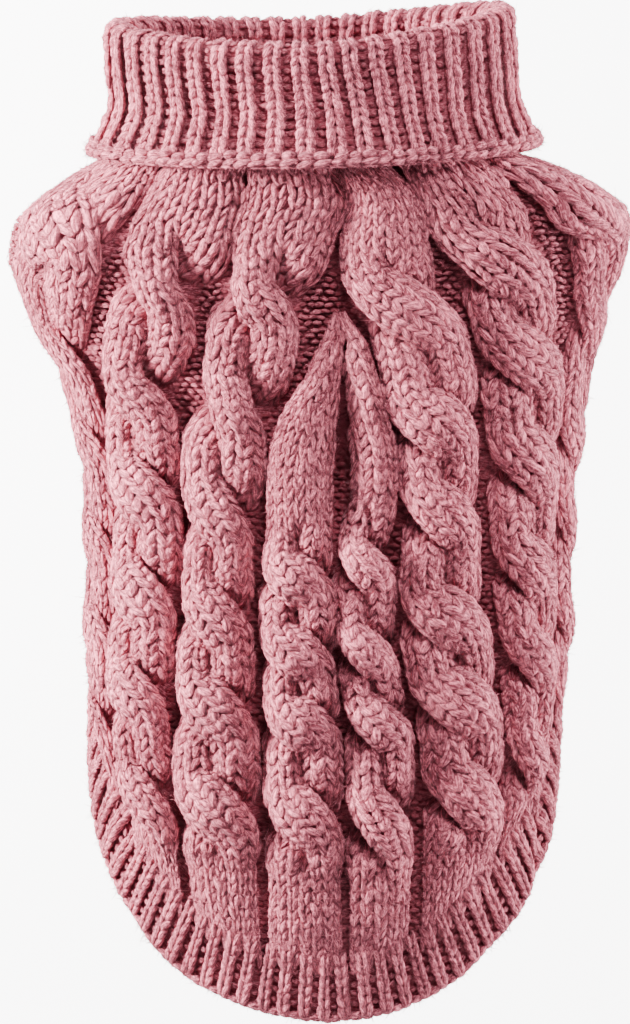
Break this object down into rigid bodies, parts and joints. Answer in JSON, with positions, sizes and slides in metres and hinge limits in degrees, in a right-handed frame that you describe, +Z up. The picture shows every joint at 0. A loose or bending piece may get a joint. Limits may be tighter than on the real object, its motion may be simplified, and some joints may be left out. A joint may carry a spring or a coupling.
{
  "type": "dog sweater",
  "caption": "Cable-knit dog sweater in dusty rose with a turned-down rib roll neck, open leg holes and a rounded ribbed tail, holding its worn hollow form.",
  "frame": {"origin": "inner face of the back panel at the withers, where the sweater hangs on its wearer", "axes": "+Y toward the neck, +Z up out of the back, +X to the right seen from above with the neck away from the viewer"},
  "size_m": [0.1804, 0.2982, 0.1052],
  "materials": {
    "cable_knit": "dusty-rose melange acrylic yarn, cable knit on purl ground, matt and softly fuzzy",
    "plain_knit": "the same yarn in plain stocking stitch, matt and softly fuzzy",
    "rib_knit": "the same yarn in 1x1 rib with a braided cast-off edge, matt and softly fuzzy"
  },
  "bodies": {
    "root": {"back_panel": "cable_knit", "belly_panel": "plain_knit", "collar": "rib_knit", "hem_rib": "rib_knit"}
  },
  "joints": []
}
